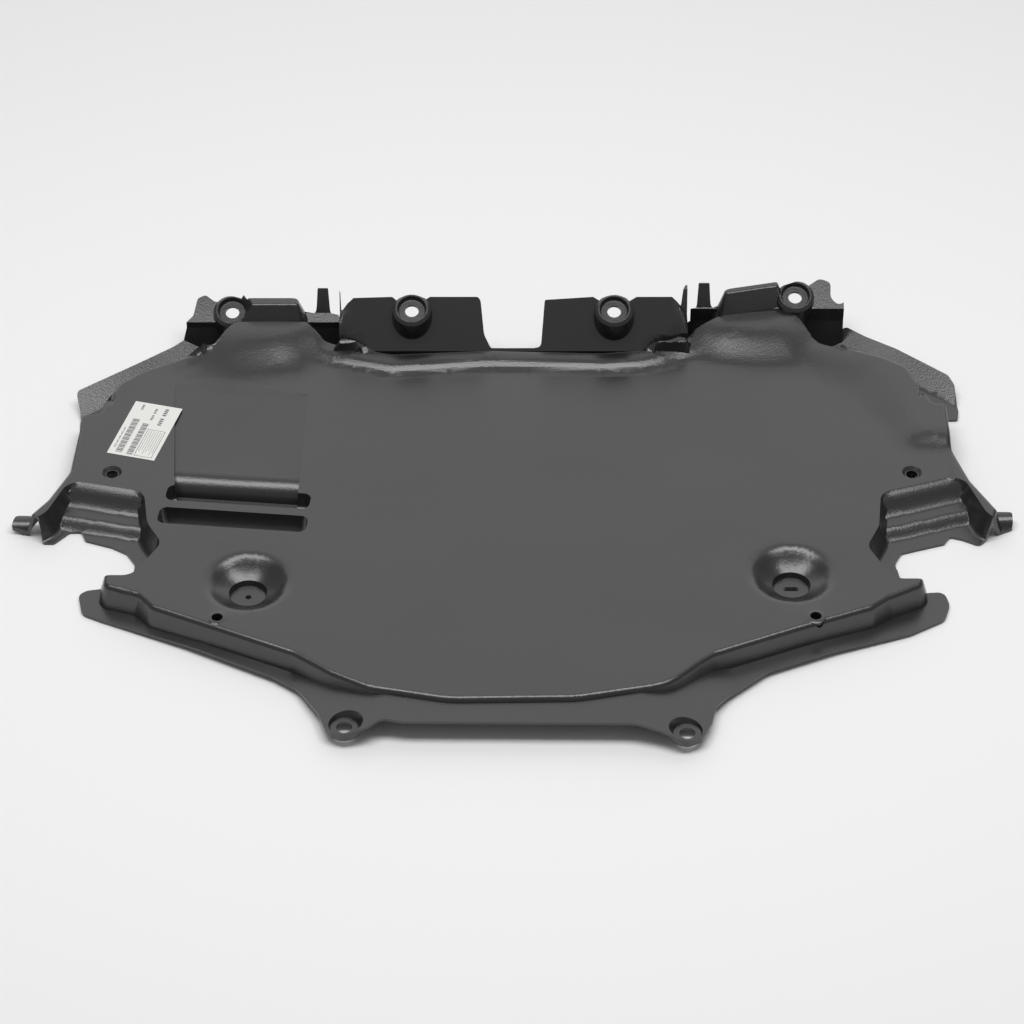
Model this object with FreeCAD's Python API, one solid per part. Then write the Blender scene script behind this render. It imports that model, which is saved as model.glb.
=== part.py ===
import FreeCAD, Part
import math
import os

V = FreeCAD.Vector

# Engine splash shield: one sheet of black plastic drawn over a tool, then trimmed and drilled.
# Millimetres. The road side is up, the front of the car is +Y, +Z is up.
# Heights are counted from the flat panel while the part is built.

# The sheet
SHEET = 3.0            # wall thickness
LOW = -26.0            # level of the parts that reach down to the floor
RIM = 8.0              # height of the raised far rim
BUMP = 20.0            # height of the two raised shoulders of the rim
DRAFT = 15.0           # lean of the side walls in degrees
EDGE = 6.0             # rounding of the upper edges

# The far flange
FLANGE_FOOT_Y = 257.0
FLANGE_FOOT_Z = 6.0
FLANGE_TOP = 52.0
FLANGE_LEAN = 51.0     # slope of the middle flange from level, in degrees
EAR_LEAN = 25.0        # slope of the two end pieces of the flange

# Fixing holes, as diameters
FAR_HOLE = 14.5
NEAR_HOLE = 15.0
SIDE_HOLE = 12.0
SMALL_HOLE = 11.0
FUNNEL_HOLE = 6.0
FUNNEL_SLOT = 15.0
FAR_LUGS = ((-107, 278, 43), (106, 277, 43), (-299, 309, 18), (300, 322, 28))
NEAR_LUGS = ((-159, -293), (163, -301))
NEAR_SEAT_Z = -18.0
SIDE_HOLES = ((-407, 63), (404, 63))
SMALL_HOLES = ((-286, -159), (292, -157))
LUG_TILT = 22.0        # lean of the far lug seats, in degrees
LUG_RING = 20.0        # outer radius of the raised ring of a far lug
LUG_SEAT = 13.5        # radius of its sunk seat

# Funnels
FUNNEL_R = 48.0
FUNNEL_DEEP = 25.5
FUNNEL_FLOOR = 13.0
FUNNEL_LEFT = (-260, -105)
FUNNEL_RIGHT = (273, -93)

# Air slot and the ramp in front of it, drawn in their own turned frame
SLOT_X = -279.0
SLOT_Y = 1.0
SLOT_TURN = -5.8
SLOT_LONG = 150.0
SLOT_WIDE = 25.0
SLOT_DEEP = 23.0
BRIDGE = 11.0          # strip left between the slot and the ramp
RAMP_LONG = 200.0
RAMP_DEEP = 22.0

# Label
LABEL_LONG = 88.0
LABEL_WIDE = 51.0
LABEL_THICK = 0.3
LABEL_X = -379.0
LABEL_Y = 130.0
LABEL_TURN = -15.0


def rounded(points, grow, z):
    """Closed outline of straight runs and arcs through (x, y, radius) corners, grown outwards."""
    n = len(points)
    area = sum(points[i - 1][0] * points[i][1] - points[i][0] * points[i - 1][1] for i in range(n))
    side = 1.0 if area > 0 else -1.0
    runs = []
    for i in range(n):
        a, b = points[i], points[(i + 1) % n]
        dx, dy = b[0] - a[0], b[1] - a[1]
        length = math.hypot(dx, dy)
        ux, uy = dx / length, dy / length
        nx, ny = uy * side, -ux * side
        runs.append((a[0] + nx * grow, a[1] + ny * grow, ux, uy))
    starts, mids, ends = [], [], []
    for i in range(n):
        p, q = runs[i - 1], runs[i]
        cross = p[2] * q[3] - p[3] * q[2]
        t = ((q[0] - p[0]) * q[3] - (q[1] - p[1]) * q[2]) / cross
        cx, cy = p[0] + t * p[2], p[1] + t * p[3]
        turn = math.atan2(cross, p[2] * q[2] + p[3] * q[3])
        bulge = 1.0 if cross * side > 0 else -1.0
        r = max(points[i][2] + bulge * grow, 0.6)
        back = r * abs(math.tan(turn / 2))
        s = (cx - p[2] * back, cy - p[3] * back)
        e = (cx + q[2] * back, cy + q[3] * back)
        hx, hy = q[2] - p[2], q[3] - p[3]
        h = math.hypot(hx, hy)
        reach = r / math.cos(turn / 2) - r
        m = (cx + hx / h * reach, cy + hy / h * reach)
        starts.append(V(s[0], s[1], z))
        mids.append(V(m[0], m[1], z))
        ends.append(V(e[0], e[1], z))
    edges = []
    for i in range(n):
        edges.append(Part.Arc(starts[i], mids[i], ends[i]).toShape())
        edges.append(Part.makeLine(ends[i], starts[(i + 1) % n]))
    return Part.Wire(edges)


def walls(points, z0, grow0, z1, grow1):
    """Solid between two copies of one outline at two heights."""
    return Part.makeLoft([rounded(points, grow0, z0), rounded(points, grow1, z1)], True, True)


def plateau(points, top, skin, lean=DRAFT, edge=EDGE, bottom=-60.0, grow=0.0):
    """Raised block of the tool with leaning walls and a rounded upper edge."""
    a = math.radians(lean)
    inset = skin / math.cos(a) - grow
    z = top - skin
    low = bottom - skin
    body = walls(points, low, (top - low) * math.tan(a) - inset, z, skin * math.tan(a) - inset)
    return soften(body, z, max(edge - skin, 1.0))


def pocket(points, floor, skin, lean=DRAFT, edge=EDGE, top=90.0):
    """Cutter for a sunk area; its outline is given at panel level."""
    a = math.radians(lean)
    out = skin / math.cos(a)
    z = floor - skin
    body = walls(points, z, z * math.tan(a) + out, top, top * math.tan(a) + out)
    return soften(body, z, edge + skin)


def soften(body, z, r):
    """Rounds every edge that lies level at one height."""
    ring = [e for e in body.Edges if abs(e.BoundBox.ZMin - z) < 1e-4 and abs(e.BoundBox.ZMax - z) < 1e-4]
    return body.makeFillet(r, ring)


def profile(points, axis, start, end):
    """Solid drawn along X or Y from a closed side profile given as (across, height)."""
    if axis == "x":
        corners = [V(start, p[0], p[1]) for p in points]
        run = V(end - start, 0, 0)
    else:
        corners = [V(p[0], start, p[1]) for p in points]
        run = V(0, end - start, 0)
    return Part.Face(Part.makePolygon(corners + corners[:1])).extrude(run)


# Plan of the raised panel, at its upper edge: the far rim line, then the sides and near edge
FAR_LINE = [
    (-419, 197, 25), (-389, 225, 30), (-346, 248, 30), (-318, 265, 14), (-304, 290, 14),
    (-290, 298, 10), (-217, 297, 16), (-198, 277, 24), (-160, 261, 40), (-128, 252, 40), (-25, 259, 60),
    (92, 254, 60), (134, 259, 40), (164, 265, 30), (194, 294, 30), (224, 310, 30), (291, 320, 12),
    (304, 311, 12), (324, 275, 30), (352, 263, 30), (386, 249, 40), (414, 230, 20), (424, 197, 25),
]
NEAR_LINE = [
    (434, 168, 6), (447, 167, 4), (447, 103, 30), (461, 52, 40), (484, 5, 6), (460, -70, 6),
    (400, -70, 8), (400, -109, 8), (366, -128, 20), (348, -143, 12), (275, -173, 60), (193, -209, 30),
    (179, -221, 30), (148, -252, 60), (60, -271, 80), (-60, -273, 80), (-137, -257, 60),
    (-176, -235, 40), (-211, -208, 30), (-307, -163, 60), (-351, -142, 12), (-366, -124, 12),
    (-400, -111, 8), (-400, -70, 8), (-460, -70, 6), (-482, -2, 6), (-467, 21, 40), (-449, 66, 30),
    (-446, 158, 4), (-429, 160, 6),
]
PANEL = FAR_LINE + NEAR_LINE
FAR_BLOCK = FAR_LINE + [(390, 60, 10), (-390, 60, 10)]
# Area lifted to the level of the far rim; only its front line shows
RIM_FRONT = [
    (-470, 131, 6), (-436, 131, 10), (-424, 166, 30), (-404, 199, 30), (-340, 228, 40), (-290, 261, 30),
    (-215, 261, 30), (-185, 244, 40), (-128, 228, 40), (-25, 238, 60), (92, 233, 60), (134, 236, 40),
    (180, 253, 40), (240, 281, 30), (286, 286, 20), (300, 258, 30), (352, 235, 40), (404, 206, 30),
    (418, 157, 30), (430, 122, 10), (480, 122, 6), (480, 418, 6), (-470, 418, 6),
]
BUMP_LEFT = [
    (-312, 259, 12), (-290, 278, 36), (-224, 277, 36), (-200, 259, 30), (-150, 256, 30),
    (-150, 419, 10), (-336, 419, 10), (-336, 259, 10),
]
BUMP_RIGHT = [
    (150, 256, 10), (176, 256, 30), (206, 282, 40), (236, 294, 40), (290, 299, 36), (314, 259, 20),
    (340, 256, 10), (340, 419, 10), (150, 419, 10),
]
# Wing recesses, at panel level
WING_LEFT = [
    (-468, -2, 20), (-449, 50, 17), (-372, 32, 17), (-365, -17, 40), (-348, -47, 17), (-374, -96, 17),
    (-540, -96, 20), (-520, -35, 20),
]
WING_RIGHT = [
    (350, -52, 17), (364, -21, 30), (370, 31, 17), (454, 59, 17), (474, -3, 20), (520, -35, 20),
    (540, -101, 20), (372, -101, 17),
]
# Trimmed outline of the whole sheet
OUTLINE = [
    (-504, 0, 2), (-500, 15, 5), (-476, 13, 3), (-467, 27, 40), (-450, 73, 30), (-446, 130, 60),
    (-453, 191, 6), (-458, 209, 8), (-396, 259, 40), (-362, 287, 30), (-341, 308, 3), (-337, 327, 5),
    (-329, 331, 5), (-318, 323, 6), (-305, 325, 8), (-288, 320, 4), (-282, 313, 3), (-236, 313, 4),
    (-229, 312, 4), (-210, 311, 3), (-208, 320, 1), (-197, 320, 1), (-195, 311, 3), (-186, 309, 3),
    (-181, 292, 3), (-128, 293, 4), (-122, 290, 5), (-109, 293, 8), (-96, 290, 5), (-88, 293, 4),
    (-35, 293, 5), (-31, 268, 8), (-24, 259, 4), (22, 259, 6), (29, 260, 4), (33, 291, 2), (84, 293, 4),
    (92, 290, 5), (108, 293, 8), (122, 290, 5), (130, 293, 4), (176, 293, 4), (182, 312, 4),
    (195, 314, 3), (197, 324, 1), (208, 324, 1), (210, 314, 3), (226, 316, 3), (231, 318, 3),
    (277, 329, 4), (290, 332, 6), (304, 337, 8), (315, 338, 5), (327, 346, 8), (339, 342, 6),
    (338, 325, 10), (346, 317, 6), (356, 322, 6), (376, 305, 20), (407, 282, 40), (458, 238, 6),
    (464, 226, 12), (466, 195, 8), (464, 181, 3), (448, 181, 3), (448, 130, 60), (456, 80, 40),
    (478, 20, 6), (502, 19, 3), (502, 5, 3), (479, -7, 10), (466, -20, 5), (450, -11, 6), (438, -7, 4),
    (431, -18, 3), (401, -28, 4), (387, -33, 4), (379, -49, 14), (382, -73, 14), (392, -96, 10),
    (424, -92, 8), (428, -111, 20), (421, -133, 14), (385, -155, 30), (311, -182, 40), (244, -212, 40),
    (205, -247, 30), (192, -264, 14), (187, -288, 10), (178, -310, 12), (160, -319, 14), (140, -309, 12),
    (112, -301, 30), (-104, -299, 30), (-124, -294, 12), (-138, -304, 12), (-160, -310, 14),
    (-176, -302, 12), (-184, -276, 14), (-206, -238, 30), (-230, -220, 30),
    (-317, -174, 60), (-403, -134, 20), (-422, -124, 12), (-428, -96, 8), (-420, -90, 6),
    (-398, -87, 8), (-383, -82, 10), (-376, -70, 10), (-376, -50, 12), (-386, -33, 5), (-402, -23, 10),
    (-429, -13, 4), (-434, 0, 3), (-446, 0, 4), (-460, -17, 4), (-471, -17, 3), (-474, -6, 5),
    (-488, -3, 10),
]


def base(skin):
    """Low parts of the tool, outside the raised panel."""
    low = -60.0 - skin
    ground = Part.makeBox(1200, 1000, LOW - skin - low, V(-600, -500, low))
    mid = -5.0 - skin
    side = -21.0 - skin
    flare = [(-560, low), (-560, LOW - skin), (-430, LOW - skin), (-300, side), (-210, side), (-120, mid),
             (120, mid), (210, side), (300, side), (430, LOW - skin), (560, LOW - skin), (560, low)]
    return ground.fuse(profile(flare, "y", -420, -60))


def slope(skin, foot, rise, lean, x0, x1, deep=60.0):
    """Block along X whose front leans back from a foot point up to a level top."""
    a = math.radians(lean)
    y, z = foot[0] + skin * math.sin(a), foot[1] - skin * math.cos(a)
    top = foot[1] + rise - skin
    low = -60.0 - skin
    y_top = y + (top - z) / math.tan(a)
    shape = [(y, low), (y, z), (y_top, top), (y_top + deep, top), (y_top + deep, low)]
    return profile(shape, "x", x0 + skin, x1 - skin)


def placed(body, x, y, z, tilt=0.0, turn=0.0):
    """Leans a body about X, turns it about Z, then moves it."""
    body = body.copy()
    body.rotate(V(0, 0, 0), V(1, 0, 0), tilt)
    body.rotate(V(0, 0, 0), V(0, 0, 1), turn)
    body.translate(V(x, y, z))
    return body


def revolved(points):
    """Solid of revolution about Z from (radius, height) points."""
    corners = [V(p[0], 0, p[1]) for p in points]
    return Part.Face(Part.makePolygon(corners + corners[:1])).revolve(V(0, 0, 0), V(0, 0, 1), 360)


def lug(body, skin, x, y, z):
    """Raised ring with a sunk round seat for a fixing screw."""
    s = skin
    boss = revolved([(0, 5 - s), (LUG_RING - 3 - s, 5 - s), (LUG_RING - s, 2 - s), (LUG_RING + 6 - s, -50),
                     (0, -50)])
    well = revolved([(0, -s), (LUG_SEAT + s, -s), (LUG_SEAT + 2 + s, 5 - s), (LUG_SEAT + 22, 40), (0, 40)])
    body = body.fuse(placed(boss, x, y, z, LUG_TILT))
    return body.cut(placed(well, x, y, z, LUG_TILT))


def funnel(skin):
    """Cutter for a round mounting funnel with a dished mouth, a ledge and a small floor."""
    s = skin
    a, d, r = FUNNEL_R, FUNNEL_DEEP, FUNNEL_FLOOR
    mouth = Part.Arc(V(a - 15 + s * 0.8, 0, -7 - s * 0.6), V(a - 9 + s * 0.5, 0, -2.2 - s * 0.85), V(a, 0, -s))
    points = [V(0, 0, -d - s), V(r + s * 0.5, 0, -d - s), V(r + 3 + s, 0, -d + 2 - s * 0.5),
              V(r + 6 + s, 0, -d + 10), V(r + 12 + s * 0.7, 0, -d + 13 - s * 0.7)]
    wall = Part.makePolygon(points + [mouth.StartPoint])
    lid = Part.makePolygon([V(a, 0, -s), V(a, 0, 30), V(0, 0, 30), V(0, 0, -d - s)])
    return Part.Face(Part.Wire(wall.Edges + [mouth.toShape()] + lid.Edges)).revolve(V(0, 0, 0), V(0, 0, 1), 360)


def flat_box(half_x, y0, y1, r):
    """Rounded rectangle in the frame of the slot."""
    return [(-half_x, y0, r), (half_x, y0, r), (half_x, y1, r), (-half_x, y1, r)]


def slot_cutter(skin):
    """Ramp with its trough, and the slot with its walls, in the frame of the slot."""
    s = skin
    near = BRIDGE
    start = near + RAMP_LONG
    bend = near + 56.0
    deep = RAMP_DEEP
    turn = Part.Arc(V(0, bend, -5 - s), V(0, bend - 18 + s * 0.5, -11 - s * 0.9), V(0, bend - 25 + s, -deep - s))
    rest = Part.makePolygon([turn.EndPoint, V(0, near - s, -deep - s), V(0, near - s, 40), V(0, start, 40),
                             V(0, start, -s), turn.StartPoint])
    side = Part.Face(Part.Wire([turn.toShape()] + rest.Edges))
    side.translate(V(-150, 0, 0))
    ramp = side.extrude(V(300, 0, 0))
    plan = [(-99, start + 12, 6), (44, start - 14, 6), (60, near, 6), (-62, near, 6)]
    ramp = ramp.common(walls(plan, -60, s - 4, 60, s + 6))
    trough = pocket(flat_box(SLOT_LONG / 2 - 2, near, near + 24, 8), -16.0, s, 12.0, 4.0)
    slot = pocket(flat_box(SLOT_LONG / 2, -SLOT_WIDE, 0, 8), -SLOT_DEEP, s, 6.0, 1.0)
    return ramp.fuse(trough).fuse(slot)


def skirt(skin, x, y, turn):
    """Tilted outer face of a far corner, rising towards its trimmed edge."""
    return placed(slope(skin, (-24.0, LOW), 26.0, 33.0, -92, 92), x, y, 0, 0, turn)


def panel_block(skin):
    """Raised panel with the wing recesses, the funnels, the ramp and the slot sunk into it."""
    body = plateau(PANEL, 0.0, skin)
    for wing in (WING_LEFT, WING_RIGHT):
        body = body.cut(pocket(wing, LOW, skin, 20.0, 5.0))
    for x, y in (FUNNEL_LEFT, FUNNEL_RIGHT):
        body = body.cut(placed(funnel(skin), x, y, 0))
    body = body.cut(placed(slot_cutter(skin), SLOT_X, SLOT_Y, 0, 0, SLOT_TURN))
    for x, y in SIDE_HOLES:
        body = body.cut(placed(revolved([(0, -3 - skin), (SIDE_HOLE / 2 + 1 + skin, -3 - skin),
                                         (SIDE_HOLE / 2 + 4 + skin, 0), (SIDE_HOLE / 2 + 14, 10), (0, 10)]), x, y, 0))
    for x, y in SMALL_HOLES:
        r = SMALL_HOLE / 2
        body = body.fuse(placed(revolved([(0, 1 - skin), (r + 2.5, 1 - skin), (r + 4.5, -skin), (r + 4.5, -20),
                                          (0, -20)]), x, y, 0))
        body = body.cut(placed(revolved([(0, -8 - skin), (r + skin, -8 - skin), (r + skin, 10), (0, 10)]), x, y, 0))
    return body


def lifted(top, skin):
    """Block behind the far rim line whose back wall runs on from the wall of the panel."""
    out = 0.8 - top * math.tan(math.radians(DRAFT))
    return plateau(FAR_BLOCK, top, skin, grow=out)


def tool(skin):
    """The whole tool, its face sunk by the skin."""
    body = base(skin).fuse(panel_block(skin))
    body = body.fuse(lifted(RIM, skin).common(plateau(RIM_FRONT, RIM, skin, 58.0, 10.0, 0.0)))
    high = lifted(BUMP, skin)
    for front in (BUMP_LEFT, BUMP_RIGHT):
        body = body.fuse(high.common(plateau(front, BUMP, skin, 50.0, 10.0, 0.0)))
    foot = (FLANGE_FOOT_Y, FLANGE_FOOT_Z)
    body = body.fuse(slope(skin, foot, FLANGE_TOP - FLANGE_FOOT_Z, FLANGE_LEAN, -184, 184))
    for side, y, top in ((-1, 301.0, 11.0), (1, 313.0, 20.0)):
        x0, x1 = sorted((side * 170, side * 352))
        body = body.fuse(slope(skin, (y - 8.0, LOW), top - LOW, 75.0, x0, x1))
        body = body.fuse(slope(skin, (y, top), 20.0, EAR_LEAN, x0, x1))
    body = body.fuse(slope(skin, (310.0, 12.0), 30.0, 72.0, -222, -186))
    body = body.fuse(slope(skin, (313.5, 18.0), 28.0, 72.0, 186, 222))
    box_left = [(-290, 302, 3), (-228, 302, 3), (-236, 350, 3), (-282, 350, 3)]
    box_right = [(224, 309, 3), (282, 323, 3), (274, 370, 3), (232, 370, 3)]
    body = body.fuse(plateau(box_left, 34.0, skin, 24.0, 4.0))
    body = body.fuse(plateau(box_right, 43.0, skin, 20.0, 4.0))
    body = body.fuse(skirt(skin, -400, 257, 39.5))
    body = body.fuse(skirt(skin, 407, 281, -39.0))
    for x, y, z in FAR_LUGS:
        body = lug(body, skin, x, y, z)
    for x, y in NEAR_LUGS:
        seat = revolved([(0, NEAR_SEAT_Z - skin), (13 + skin, NEAR_SEAT_Z - skin), (28 + skin, 10), (0, 10)])
        body = body.cut(placed(seat, x, y, 0))
    for x, y in ((-520, 9), (470, 17)):
        body = body.fuse(Part.makeCylinder(14 - skin, 50, V(x, y, -30), V(1, 0, 0)))
    return body


def pin(x, y, z, diameter, tilt=0.0, long=60.0):
    """Drill for a round hole."""
    return placed(Part.makeCylinder(diameter / 2, long, V(0, 0, -long / 2)), x, y, z, tilt)


def drills():
    """Everything that is punched through the sheet after forming."""
    cuts = [pin(x, y, z, FAR_HOLE, LUG_TILT) for x, y, z in FAR_LUGS]
    cuts += [pin(x, y, NEAR_SEAT_Z, NEAR_HOLE) for x, y in NEAR_LUGS]
    cuts += [pin(x, y, 0, SIDE_HOLE) for x, y in SIDE_HOLES]
    cuts += [pin(x, y, 0, SMALL_HOLE) for x, y in SMALL_HOLES]
    cuts.append(pin(FUNNEL_LEFT[0], FUNNEL_LEFT[1], -FUNNEL_DEEP, FUNNEL_HOLE))
    half = (FUNNEL_SLOT - FUNNEL_HOLE) / 2
    long_hole = [(-half - 3, -3, 2.9), (half + 3, -3, 2.9), (half + 3, 3, 2.9), (-half - 3, 3, 2.9)]
    long_hole = Part.Face(rounded(long_hole, 0, -50)).extrude(V(0, 0, 60))
    cuts.append(placed(long_hole, FUNNEL_RIGHT[0], FUNNEL_RIGHT[1], 0))
    way = math.tan(math.radians(6.0)) * SLOT_DEEP
    mouth = flat_box(SLOT_LONG / 2 - way, -SLOT_WIDE + way, -way, 8 - way)
    mouth = Part.Face(rounded(mouth, 0, -SLOT_DEEP - 8)).extrude(V(0, 0, 20))
    cuts.append(placed(mouth, SLOT_X, SLOT_Y, 0, 0, SLOT_TURN))
    return cuts


os.makedirs("parts", exist_ok=True)
sheet = tool(0.0).cut(tool(SHEET))
outline = Part.Face(rounded(OUTLINE, 0, -100)).extrude(V(0, 0, 250))
sheet = sheet.common(outline)
for drill in drills():
    sheet = sheet.cut(drill)
sheet = sheet.Solids[0] if len(sheet.Solids) == 1 else sheet
label = Part.makeBox(LABEL_WIDE, LABEL_LONG, LABEL_THICK, V(-LABEL_WIDE / 2, -LABEL_LONG / 2, 0))
label = placed(label, LABEL_X, LABEL_Y, 0, 0, LABEL_TURN)

box = sheet.optimalBoundingBox(False, False)
home = V(-(box.XMin + box.XMax) / 2, -(box.YMin + box.YMax) / 2, -box.ZMin)
for name, body in (("splash_shield", sheet), ("label", label)):
    body.translate(home)
    body.exportStep("parts/" + name + ".step")
print("solids", len(sheet.Solids), "valid", sheet.isValid(), "volume", round(sheet.Volume), "home", home)
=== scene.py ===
import math

import bmesh
import bpy
import numpy as np
from mathutils import Euler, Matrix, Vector
from mathutils.bvhtree import BVHTree


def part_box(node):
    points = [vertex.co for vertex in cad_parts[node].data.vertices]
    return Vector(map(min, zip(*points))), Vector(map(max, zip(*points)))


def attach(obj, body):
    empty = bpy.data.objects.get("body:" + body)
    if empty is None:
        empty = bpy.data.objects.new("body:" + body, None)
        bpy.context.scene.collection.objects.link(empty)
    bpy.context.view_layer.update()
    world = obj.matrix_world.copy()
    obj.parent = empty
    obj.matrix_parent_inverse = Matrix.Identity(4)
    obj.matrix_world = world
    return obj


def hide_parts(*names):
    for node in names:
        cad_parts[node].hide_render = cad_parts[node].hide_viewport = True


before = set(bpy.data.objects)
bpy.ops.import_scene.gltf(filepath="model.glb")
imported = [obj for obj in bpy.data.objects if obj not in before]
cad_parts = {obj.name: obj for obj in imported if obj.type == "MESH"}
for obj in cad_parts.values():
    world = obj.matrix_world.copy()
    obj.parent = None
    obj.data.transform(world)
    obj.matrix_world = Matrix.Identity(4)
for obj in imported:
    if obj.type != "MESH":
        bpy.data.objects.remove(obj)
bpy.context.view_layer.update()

# The sheet: black polyethylene about 3 mm thick, drawn warm over a tool, trimmed all round
# and drilled. The tool's grain shows as a fine pebble on the road side, and the skin is
# satin with slow waves.
GRAIN_SIZE = 0.0019
GRAIN_DEPTH = 0.00013
WAVE_SIZE = 0.11
WAVE_DEPTH = 0.0022
PLASTIC_COLOUR = (0.017, 0.0172, 0.0175, 1)
PLASTIC_ROUGHNESS = 0.28
PLASTIC_IOR = 1.54
PLASTIC_SHINE = 0.8
WELD = 1e-6                      # corners nearer than this are one corner
FOLD_ANGLE = math.radians(34)    # folds sharper than this stay crisp
LEVEL_WEIGHT = 50                # how much large level faces count for their corners' shading


def pebble_grain():
    """Node group: height in metres of a fine pebble grain over slow waves."""
    group = bpy.data.node_groups.new("pebble grain", "ShaderNodeTree")
    for label in ("Grain size", "Grain depth", "Wave size", "Wave depth"):
        group.interface.new_socket(label, in_out="INPUT", socket_type="NodeSocketFloat")
    group.interface.new_socket("Height", in_out="OUTPUT", socket_type="NodeSocketFloat")
    nodes, links = group.nodes, group.links
    given = nodes.new("NodeGroupInput")
    out = nodes.new("NodeGroupOutput")
    place = nodes.new("ShaderNodeTexCoord")

    def patches(size, detail):
        """Noise whose patches have the given size."""
        scale = nodes.new("ShaderNodeMath")
        scale.operation = "DIVIDE"
        scale.inputs[0].default_value = 1.0
        links.new(given.outputs[size], scale.inputs[1])
        noise = nodes.new("ShaderNodeTexNoise")
        noise.inputs["Detail"].default_value = detail
        links.new(place.outputs["Object"], noise.inputs["Vector"])
        links.new(scale.outputs[0], noise.inputs["Scale"])
        return noise.outputs["Fac"]

    fine = nodes.new("ShaderNodeMath")
    fine.operation = "MULTIPLY"
    links.new(patches("Grain size", 1.0), fine.inputs[0])
    links.new(given.outputs["Grain depth"], fine.inputs[1])
    both = nodes.new("ShaderNodeMath")
    both.operation = "MULTIPLY_ADD"
    links.new(patches("Wave size", 0.0), both.inputs[0])
    links.new(given.outputs["Wave depth"], both.inputs[1])
    links.new(fine.outputs[0], both.inputs[2])
    links.new(both.outputs[0], out.inputs["Height"])
    return group


def black_plastic():
    """Satin black polyethylene with its grain."""
    mat = bpy.data.materials.new("black formed plastic")
    mat.use_nodes = True
    nodes, links = mat.node_tree.nodes, mat.node_tree.links
    skin = nodes["Principled BSDF"]
    skin.inputs["Base Color"].default_value = PLASTIC_COLOUR
    skin.inputs["Roughness"].default_value = PLASTIC_ROUGHNESS
    skin.inputs["IOR"].default_value = PLASTIC_IOR
    skin.inputs["Specular IOR Level"].default_value = PLASTIC_SHINE
    grain = nodes.new("ShaderNodeGroup")
    grain.node_tree = pebble_grain()
    for label, value in (("Grain size", GRAIN_SIZE), ("Grain depth", GRAIN_DEPTH),
                         ("Wave size", WAVE_SIZE), ("Wave depth", WAVE_DEPTH)):
        grain.inputs[label].default_value = value
    bump = nodes.new("ShaderNodeBump")
    bump.inputs["Strength"].default_value = 1.0
    bump.inputs["Distance"].default_value = 1.0
    links.new(grain.outputs["Height"], bump.inputs["Height"])
    links.new(bump.outputs["Normal"], skin.inputs["Normal"])
    return mat


def welded_copy(name, node):
    """A copy of a CAD node with its split corners welded, whose level faces stay level."""
    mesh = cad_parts[node].data.copy()
    mesh.name = name
    work = bmesh.new()
    work.from_mesh(mesh)
    bmesh.ops.remove_doubles(work, verts=work.verts, dist=WELD)
    for f in work.faces:
        f.smooth = True
    work.to_mesh(mesh)
    work.free()
    mesh.update()
    for layer in [a.name for a in mesh.attributes if a.name == "custom_normal"]:
        mesh.attributes.remove(mesh.attributes[layer])
    obj = bpy.data.objects.new(name, mesh)
    bpy.context.scene.collection.objects.link(obj)
    even = obj.modifiers.new("level faces stay level", "WEIGHTED_NORMAL")
    even.mode = "FACE_AREA"
    even.weight = LEVEL_WEIGHT
    even.keep_sharp = True
    return obj


def keep_folds_crisp(mesh):
    """Folded and trimmed edges stay crisp, and everything else is smooth."""
    work = bmesh.new()
    work.from_mesh(mesh)
    for e in work.edges:
        e.smooth = len(e.link_faces) == 2 and e.calc_face_angle(0.0) < FOLD_ANGLE
    work.to_mesh(mesh)
    work.free()
    mesh.update()


def cut_by(mesh, wanted, planes):
    """Cuts the wanted faces along upright planes, so that they can take a curve."""
    work = bmesh.new()
    work.from_mesh(mesh)
    part = [f for f in work.faces if wanted(f)]
    part += list({e for f in part for e in f.edges}) + list({v for f in part for v in f.verts})
    for point, normal in planes:
        part = bmesh.ops.bisect_plane(work, geom=part, plane_co=point, plane_no=normal, dist=WELD)["geom"]
    bmesh.ops.triangulate(work, faces=[f for f in work.faces if len(f.verts) > 3])
    work.to_mesh(mesh)
    work.free()


# The forms below are laid out in millimetres: in plan from the middle of the sheet, and in
# height from the panel's level.
PANEL_LEVEL = 29.0
THICKNESS = 3.0
FACES_UP = 0.15         # how far a corner's normal leans up on the road side


def points_of(mesh):
    """Corners of a mesh in plan and over the panel's level, and how far each faces up."""
    place = np.empty(len(mesh.vertices) * 3)
    mesh.vertices.foreach_get("co", place)
    place = place.reshape(-1, 3) * 1000 - (0, 0, PANEL_LEVEL)
    facing = np.empty(len(mesh.vertices) * 3)
    mesh.vertex_normals.foreach_get("vector", facing)
    return place, facing.reshape(-1, 3)[:, 2]


def put_back(mesh, place):
    """Writes moved corners back to the mesh."""
    mesh.vertices.foreach_set("co", ((place + (0, 0, PANEL_LEVEL)) / 1000).ravel())
    mesh.update()


def share(value, start, stretch):
    """Nothing up to the start, one past the end of the stretch, and even between."""
    return np.clip((value - start) / stretch, 0, 1)


def soft(t):
    """Turns an even rise from 0 to 1 into one that starts and ends level."""
    return t * t * (3 - 2 * t)


def inside_by(line, x, y):
    """How far each plan point lies inside a closed line, negative outside."""
    near = np.full(x.shape, 1e9)
    within = np.zeros(x.shape, bool)
    for (ax, ay), (bx, by) in zip(line, line[1:] + line[:1]):
        dx, dy = bx - ax, by - ay
        t = np.clip(((x - ax) * dx + (y - ay) * dy) / (dx * dx + dy * dy), 0, 1)
        near = np.minimum(near, np.hypot(x - ax - t * dx, y - ay - t * dy))
        if dy:
            within ^= ((ay > y) != (by > y)) & (x < dx * (y - ay) / dy + ax)
    return np.where(within, near, -near)


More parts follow.
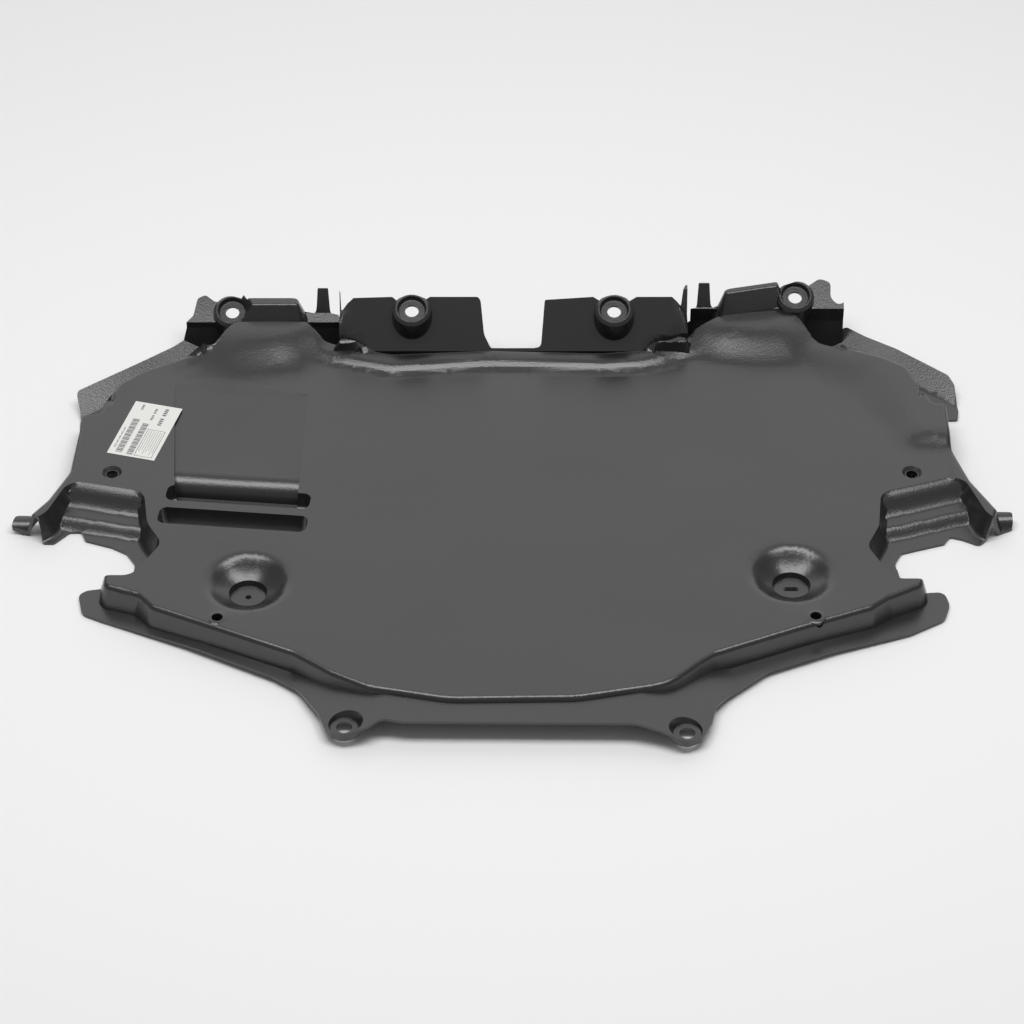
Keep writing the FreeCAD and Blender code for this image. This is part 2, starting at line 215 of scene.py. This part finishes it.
# Far rim: it rises softly out of the panel and swells to two shoulders. Each has a line
# where the rise starts and a line where it has its full height.
RAISED_EDGE = [
    (-418, 183), (-388, 211), (-345, 234), (-317, 251), (-303, 276), (-289, 284), (-216, 283),
    (-197, 263), (-159, 247), (-127, 238), (-24, 245), (93, 240), (135, 245), (165, 251),
    (195, 280), (225, 296), (292, 306), (305, 297), (325, 261), (353, 249), (387, 235),
    (415, 216), (425, 183), (435, 154), (448, 153), (448, 66), (-448, 66), (-445, 144),
    (-428, 146),
]
RIM_LOW = [
    (-329, 416), (-321, 276), (-284, 226), (-214, 230), (-184, 220), (-127, 205), (-24, 215),
    (93, 210), (135, 213), (181, 230), (241, 248), (301, 214), (346, 176), (379, 126),
    (395, 86), (501, 76), (501, 416),
]
RIM_HIGH = [
    (-261, 416), (-261, 286), (-214, 254), (-184, 238), (-127, 222), (-24, 232), (93, 227),
    (135, 230), (181, 247), (241, 275), (287, 278), (323, 250), (353, 240), (389, 228),
    (403, 192), (409, 158), (421, 108), (501, 111), (501, 416),
]
LEFT_LOW = [
    (-391, 286), (-371, 208), (-299, 182), (-213, 206), (-171, 248), (-159, 316), (-159, 416),
    (-391, 416),
]
LEFT_HIGH = [
    (-307, 304), (-301, 276), (-281, 265), (-245, 262), (-221, 274), (-215, 316), (-215, 416),
    (-307, 416),
]
RIGHT_LOW = [
    (151, 316), (161, 236), (197, 224), (251, 208), (307, 208), (353, 248), (363, 316),
    (363, 416), (151, 416),
]
RIGHT_HIGH = [
    (205, 326), (211, 288), (229, 276), (251, 274), (281, 278), (293, 292), (297, 326),
    (297, 416), (205, 416),
]
RIM_RISE = 8.0
SHOULDER_RISE = 20.0
RIM_ROUNDING = 8        # rounds of evening out that give the rim its soft foot
RIM_CORNERS = ((-462, 66), (462, 310))
RIM_CUTS = 7.0
# The rise is worked out on a plan grid and read off for each corner of the sheet
CELL = 2.5
GRID_HALF = 470
GRID_NEAR = 60
GRID_FAR = 320
RUN_ON = 12             # cells by which it runs on past its own area
WHOLLY = 0.99           # share of the cells round a corner that have to be known
LOOK_FROM = 0.2         # metres above the floor, over the highest point of the sheet
# What keeps its own form: the rounded edge, the middle flange and the two end lugs
EDGE_BAND = 7.0
FLANGE_HALF = 188
FLANGE_FOOT = 239
LUGS = ((-298, 295), (301, 308))
LUG_R = 27.0
LUG_CORE = 22.0         # inside this a lug's wall stays, and it eases off over the next stretch
LUG_EASE = 6.0
MARGIN = 2.0
WALL = 3.0              # a corner that stands higher than this belongs to a wall
WALL_EASE = 1.5
TOP = -0.6              # below this a corner lies in a pit of the panel
LOW_END = -24.0         # below this nothing moves, and it eases in over the next stretch
LOW_EASE = 20.0
# The panel is level at the far left, and its edge moves out as it comes down
LEFT_BAND = 45.0
LEFT_START = 322.0
LEFT_EASE = 15.0
LEFT_NEAR = 150.0
LEFT_RUN = 25.0
LEFT_SLOPE = 1.19
# The outer top corners of the middle flange slope down
CORNER_ACROSS = (172, 187)
CORNER_ALONG = (250, 284)
CORNER_FOOT = 20.0
CORNER_TOP = 47.0
CORNER_SLOPE = 1.7


def four_beside(values, mode):
    """Sum of each cell's four neighbours."""
    p = np.pad(values, 1, mode=mode)
    return p[:-2, 1:-1] + p[2:, 1:-1] + p[1:-1, :-2] + p[1:-1, 2:]


def blurred(values, rounds):
    """Each value replaced by the mean of itself and its neighbours, several times."""
    for _ in range(rounds):
        values = (four_beside(values, "edge") + 2 * values) / 6
    return values


def run_on(fields, known):
    """Carries fields on past the area in which they are known, a cell at a time."""
    for _ in range(RUN_ON):
        around = four_beside(known.astype(float), "constant")
        fresh = (around > 0) & ~known
        for field in fields:
            total = four_beside(np.where(known, field, 0.0), "constant")
            field[fresh] = total[fresh] / around[fresh]
        known |= fresh


def read_off(field, px, py):
    """A field's value at each plan point, even between the cells."""
    u = np.clip((px + GRID_HALF) / CELL, 0, field.shape[0] - 1.001)
    v = np.clip((py - GRID_NEAR) / CELL, 0, field.shape[1] - 1.001)
    i, j = u.astype(int), v.astype(int)
    u, v = u - i, v - j
    return ((1 - u) * (1 - v) * field[i, j] + u * (1 - v) * field[i + 1, j]
            + (1 - u) * v * field[i, j + 1] + u * v * field[i + 1, j + 1])


def rise(low, high, top, x, y):
    """Soft rise from nothing at the foot line to the full height at the top line."""
    a = np.maximum(inside_by(low, x, y), 0)
    b = np.maximum(-inside_by(high, x, y), 0)
    return top * soft(a / np.maximum(a + b, 1e-6))


def drawn_height(x, y):
    """Height of the soft rim and its shoulders over the panel."""
    left = rise(LEFT_LOW, LEFT_HIGH, SHOULDER_RISE, x, y)
    right = rise(RIGHT_LOW, RIGHT_HIGH, SHOULDER_RISE, x, y)
    return np.maximum(rise(RIM_LOW, RIM_HIGH, RIM_RISE, x, y), np.maximum(left, right))


def height_found(mesh, x, y):
    """Height of a mesh over the panel at each plan point, nothing where it lies lower."""
    work = bmesh.new()
    work.from_mesh(mesh)
    tree = BVHTree.FromBMesh(work)
    work.free()
    found = np.zeros(x.shape)
    for spot in np.ndindex(x.shape):
        hit = tree.ray_cast(Vector((x[spot] / 1000, y[spot] / 1000, LOOK_FROM)), Vector((0, 0, -1)))[0]
        if hit is not None:
            found[spot] = max(hit.z * 1000 - PANEL_LEVEL, 0.0)
    return found


def cut_rim(mesh):
    """Cuts the sheet along a square grid over the raised area."""
    low, high = RIM_CORNERS
    planes = [((place / 1000, 0, 0), (1, 0, 0)) for place in np.arange(low[0], high[0], RIM_CUTS)]
    planes += [((0, place / 1000, 0), (0, 1, 0)) for place in np.arange(low[1], high[1], RIM_CUTS)]

    def wanted(f):
        mid = f.calc_center_median().x * 1000
        along = [v.co.y * 1000 for v in f.verts]
        return low[0] < mid < high[0] and max(along) > low[1] and min(along) < high[1]

    cut_by(mesh, wanted, planes)


def soften_rim(mesh):
    """Moves the raised area of the sheet to its soft final form."""
    x, y = np.meshgrid(np.arange(-GRID_HALF, GRID_HALF + 1, CELL),
                       np.arange(GRID_NEAR, GRID_FAR + 1, CELL), indexing="ij")
    old = height_found(mesh, x, y)
    new = blurred(drawn_height(x, y), RIM_ROUNDING)
    known = (inside_by(RAISED_EDGE, x, y) > EDGE_BAND) & ~((np.abs(x) < FLANGE_HALF) & (y > FLANGE_FOOT))
    for lug_x, lug_y in LUGS:
        known &= np.hypot(x - lug_x, y - lug_y) > LUG_R
    change = np.where(known, new - old, 0.0)
    level = np.where(known, old, 0.0)
    run_on((change, level), known)

    place, facing = points_of(mesh)
    px, py, pz = place.T.copy()
    across = np.abs(px)
    inside = inside_by(RAISED_EDGE, px, py)
    above = pz - read_off(level, px, py)
    held = (py > GRID_NEAR + MARGIN) & (across < GRID_HALF - MARGIN)
    held &= read_off(known.astype(float), px, py) > WHOLLY
    keep = held * share(WALL - above, 0, WALL_EASE) * share(inside, -MARGIN, WALL_EASE)
    free = ~((across < FLANGE_HALF - MARGIN) & (py > FLANGE_FOOT + MARGIN))
    for lug_x, lug_y in LUGS:
        away = np.hypot(px - lug_x, py - lug_y)
        keep *= share(away, LUG_CORE, LUG_EASE)
        free &= away > LUG_R
    keep *= share(pz, LOW_END, LOW_EASE)

    shift = read_off(change, px, py)
    drawn = read_off(new, px, py)
    road_side = held & (inside > EDGE_BAND) & (facing > FACES_UP)
    top = road_side & free & (pz > TOP)
    pit = road_side & (pz <= TOP)
    place[:, 2] += shift * keep
    place[top, 2] = drawn[top]
    place[pit, 2] = (pz + drawn)[pit]

    side = share(-inside, -LEFT_BAND, LEFT_BAND) * share(-px, LEFT_START, LEFT_EASE)
    side *= share(py, LEFT_NEAR, LEFT_RUN)
    place[:, 1] += np.clip(-shift, 0, RIM_RISE) * LEFT_SLOPE * side * keep

    corner = (across > CORNER_ACROSS[0]) & (across < CORNER_ACROSS[1])
    corner &= (py > CORNER_ALONG[0]) & (py < CORNER_ALONG[1]) & (pz > CORNER_FOOT)
    place[corner, 2] = np.minimum(pz, CORNER_TOP - (across - CORNER_ACROSS[0]) * CORNER_SLOPE)[corner]
    put_back(mesh, place)


# Wing recesses: from its far edge each has a scooped wall, a level shelf and a short fall
WING_LEFT = [
    (-467, -16), (-448, 36), (-371, 18), (-364, -31), (-347, -61), (-373, -110), (-539, -110),
    (-519, -49),
]
WING_RIGHT = [
    (351, -66), (365, -35), (371, 17), (455, 45), (475, -17), (521, -49), (541, -115),
    (373, -115),
]
LEFT_FAR_EDGE = ((-448, 36), (-371, 18))
RIGHT_FAR_EDGE = ((371, 17), (455, 45))
WING_HALF = 66.0
WING_NEAR = 64.0
WING_FAR = 14.0
WING_REACH = 54.0
WING_CUTS = 3.0
WING_LIP = 1.5
SCOOP_START = -2.0
SCOOP = 27.0
SHELF = -17.0
SHELF_END = 33.0
FALL = 17.0
FALL_DEEP = 9.5


def cut_wing(mesh, far_edge):
    """Cuts a wing recess along lines that run with its far edge."""
    start, end = far_edge
    mid_x, mid_y = (start[0] + end[0]) / 2, (start[1] + end[1]) / 2
    dx, dy = end[0] - start[0], end[1] - start[1]
    long = math.hypot(dx, dy)
    across = (dy / long, -dx / long, 0)
    planes = []
    for k in range(int(WING_REACH / WING_CUTS) + 1):
        step = k * WING_CUTS
        point = ((start[0] + across[0] * step) / 1000, (start[1] + across[1] * step) / 1000, 0)
        planes.append((point, across))

    def wanted(f):
        mid = f.calc_center_median() * 1000
        return abs(mid.x - mid_x) < WING_HALF and -WING_NEAR < mid.y - mid_y < WING_FAR

    cut_by(mesh, wanted, planes)


def scoop_wing(mesh, area, far_edge):
    """Raises the floor of a wing recess to a scooped wall, a shelf and a short fall."""
    place, facing = points_of(mesh)
    px, py, pz = place.T.copy()
    start, end = far_edge
    dx, dy = end[0] - start[0], end[1] - start[1]
    away = (dy * (px - start[0]) - dx * (py - start[1])) / math.hypot(dx, dy)
    floor = SHELF * soft(share(away, SCOOP_START, SCOOP))
    floor -= FALL_DEEP * soft(share(away, SHELF_END, FALL))
    pick = (inside_by(area, px, py) > -WING_LIP) & (away > 0)
    thick = np.where(facing > 0, 0.0, THICKNESS)
    place[pick, 2] = np.maximum(pz, floor - thick)[pick]
    put_back(mesh, place)


shield = welded_copy("formed_sheet", "splash_shield")
cut_rim(shield.data)
cut_wing(shield.data, LEFT_FAR_EDGE)
cut_wing(shield.data, RIGHT_FAR_EDGE)
soften_rim(shield.data)
scoop_wing(shield.data, WING_LEFT, LEFT_FAR_EDGE)
scoop_wing(shield.data, WING_RIGHT, RIGHT_FAR_EDGE)
keep_folds_crisp(shield.data)
shield.data.materials.clear()
shield.data.materials.append(black_plastic())
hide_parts("splash_shield")
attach(shield, "root")

# The label: a small white paper sticker with plain printed bars, lying flat on the panel.
# It is held by its own glue over its whole back. The printing is laid out in millimetres
# from the label's far left corner: first across, from and to, then along, from and to.
LABEL_TURN = math.radians(-15.0)
LABEL_WIDE = 51.0
LABEL_LONG = 88.0
PAPER_COLOUR = (0.78, 0.78, 0.75, 1)
PAPER_ROUGHNESS = 0.55
INK_COLOUR = (0.12, 0.12, 0.13, 1)
INK_ROUGHNESS = 0.6
INK_LIFT = 0.00005
CODES = ((7.5, 14.5, 28, 84), (19.5, 26.0, 33, 85))
BAR_STEPS = (1.6, 0.8, 2.4, 1.2, 0.8, 2.0, 1.6, 0.8)
BAR_INK = 0.6
BAR_GAP = 0.5
GAP_SHIFT = 3           # the gaps use the same steps, this many further on
WORDS = (               # with the pitch of the letters last
    (34.5, 38.5, 5, 37, 3.2), (24.5, 27.0, 7, 30, 2.2),
    (9.5, 12.0, 4, 17, 2.2), (3.6, 5.0, 44, 78, 1.4),
)
WORD_LONG = 4
LETTER_INK = 0.62
BOX = (28.0, 47.0, 41, 85)
BOX_LINE = 0.5
BOX_ROWS = 8
ROW_LINE = 0.35
ROW_START = 2
ROW_END = 4
ROW_RAGGED = 3


def plain_skin(name, colour, roughness):
    """A material of one even colour."""
    mat = bpy.data.materials.new(name)
    mat.use_nodes = True
    skin = mat.node_tree.nodes["Principled BSDF"]
    skin.inputs["Base Color"].default_value = colour
    skin.inputs["Roughness"].default_value = roughness
    return mat


def printed():
    """Rectangles of ink, each as left, right, far and near."""
    marks = []
    for left, right, far, near in CODES:
        place, step = far, 0
        while place < near:
            thick = BAR_STEPS[step % len(BAR_STEPS)] * BAR_INK
            marks.append((left, right, place, min(place + thick, near)))
            place += thick + BAR_STEPS[(step + GAP_SHIFT) % len(BAR_STEPS)] * BAR_GAP
            step += 1
    for left, right, far, near, pitch in WORDS:
        for k in range(int((near - far) / pitch)):
            if k % (WORD_LONG + 1) != WORD_LONG:
                marks.append((left, right, far + k * pitch, far + (k + LETTER_INK) * pitch))
    left, right, far, near = BOX
    marks += [(left, right, far, far + BOX_LINE), (left, right, near - BOX_LINE, near),
              (left, left + BOX_LINE, far, near), (right - BOX_LINE, right, far, near)]
    for k in range(1, BOX_ROWS):
        across = left + (right - left) * k / BOX_ROWS
        marks.append((across, across + ROW_LINE, far + ROW_START, near - ROW_END - ROW_RAGGED * (k % 3)))
    return marks


def print_on(mesh, centre):
    """Adds the ink to the label as faces just above the paper."""
    work = bmesh.new()
    work.from_mesh(mesh)
    for left, right, far, near in printed():
        ring = []
        for across, along in ((left, near), (right, near), (right, far), (left, far)):
            point = Vector(((across - LABEL_WIDE / 2) / 1000, (LABEL_LONG / 2 - along) / 1000, INK_LIFT))
            point.rotate(Euler((0, 0, LABEL_TURN)))
            ring.append(work.verts.new(centre + point))
        work.faces.new(ring).material_index = 1
    work.to_mesh(mesh)
    work.free()


label = welded_copy("paper_label", "label")
keep_folds_crisp(label.data)
label.data.materials.clear()
label.data.materials.append(plain_skin("white label paper", PAPER_COLOUR, PAPER_ROUGHNESS))
label.data.materials.append(plain_skin("black label ink", INK_COLOUR, INK_ROUGHNESS))
low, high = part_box("label")
print_on(label.data, Vector(((low[0] + high[0]) / 2, (low[1] + high[1]) / 2, high[2])))
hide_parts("label")
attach(label, "root")

# Stage: a plain white floor, a soft box overhead, a large soft light behind and the camera at
# the photograph's angle. None of it is part of the shield.
FLOOR_HALF = 9
FLOOR_COLOUR = (0.9, 0.9, 0.9, 1)
FLOOR_ROUGHNESS = 0.9
OVERHEAD = 5.4          # brightness of each lamp's face, where 1 is white
BACK_WALL = 0.74
ROOM = 0.25
PHOTO_WIDE = 1024
FOCAL_LENGTH = 3500
SENSOR = 36.0
SHIFT = -1.5
CAM_ELEVATION = math.radians(40.0)
CAM_DISTANCE = 3.5
CAM_REACH = 40
AIM = Vector((0.0008, -0.0139, 0.029))


def soft_box(name, place, aim, wide, high, brightness):
    """Rectangular lamp whose face has a given brightness."""
    lamp = bpy.data.lights.new(name, "AREA")
    lamp.shape = "RECTANGLE"
    lamp.size = wide
    lamp.size_y = high
    lamp.energy = brightness * wide * high * math.pi
    obj = bpy.data.objects.new(name, lamp)
    obj.location = place
    obj.rotation_euler = (Vector(aim) - Vector(place)).to_track_quat("-Z", "Y").to_euler()
    bpy.context.scene.collection.objects.link(obj)


soft_box("overhead box", (0.0, -0.2, 2.6), (0, 0, 0), 3.0, 1.0, OVERHEAD)
soft_box("back wall light", (0.0, 4.6, 3.2), (0, 0, 0.2), 9.0, 6.0, BACK_WALL)

floor_mesh = bpy.data.meshes.new("floor")
floor_mesh.from_pydata([(-FLOOR_HALF, -FLOOR_HALF, 0), (FLOOR_HALF, -FLOOR_HALF, 0),
                        (FLOOR_HALF, FLOOR_HALF, 0), (-FLOOR_HALF, FLOOR_HALF, 0)], [], [(0, 1, 2, 3)])
floor = bpy.data.objects.new("floor", floor_mesh)
floor_skin = plain_skin("white floor", FLOOR_COLOUR, FLOOR_ROUGHNESS)
floor_skin.node_tree.nodes["Principled BSDF"].inputs["Specular IOR Level"].default_value = 0.0
floor.data.materials.append(floor_skin)
bpy.context.scene.collection.objects.link(floor)

world = bpy.data.worlds.new("studio")
world.use_nodes = True
nodes, links = world.node_tree.nodes, world.node_tree.links
sky = nodes["Background"]
sky.inputs["Color"].default_value = (1, 1, 1, 1)
sky.inputs["Strength"].default_value = ROOM
seen = nodes.new("ShaderNodeBackground")
seen.inputs["Color"].default_value = (1, 1, 1, 1)
seen.inputs["Strength"].default_value = 1.0
path = nodes.new("ShaderNodeLightPath")
mix = nodes.new("ShaderNodeMixShader")
links.new(path.outputs["Is Camera Ray"], mix.inputs["Fac"])
links.new(sky.outputs[0], mix.inputs[1])
links.new(seen.outputs[0], mix.inputs[2])
links.new(mix.outputs[0], nodes["World Output"].inputs["Surface"])
bpy.context.scene.world = world

lens = bpy.data.cameras.new("camera")
lens.sensor_width = SENSOR
lens.lens = SENSOR * FOCAL_LENGTH / PHOTO_WIDE
lens.shift_x = SHIFT / PHOTO_WIDE
lens.clip_end = CAM_REACH
camera = bpy.data.objects.new("camera", lens)
back = Vector((0, -math.cos(CAM_ELEVATION), math.sin(CAM_ELEVATION)))
camera.location = AIM + back * CAM_DISTANCE
camera.rotation_euler = (-back).to_track_quat("-Z", "Y").to_euler()
bpy.context.scene.collection.objects.link(camera)
bpy.context.scene.camera = camera
bpy.context.scene.view_settings.view_transform = "Standard"
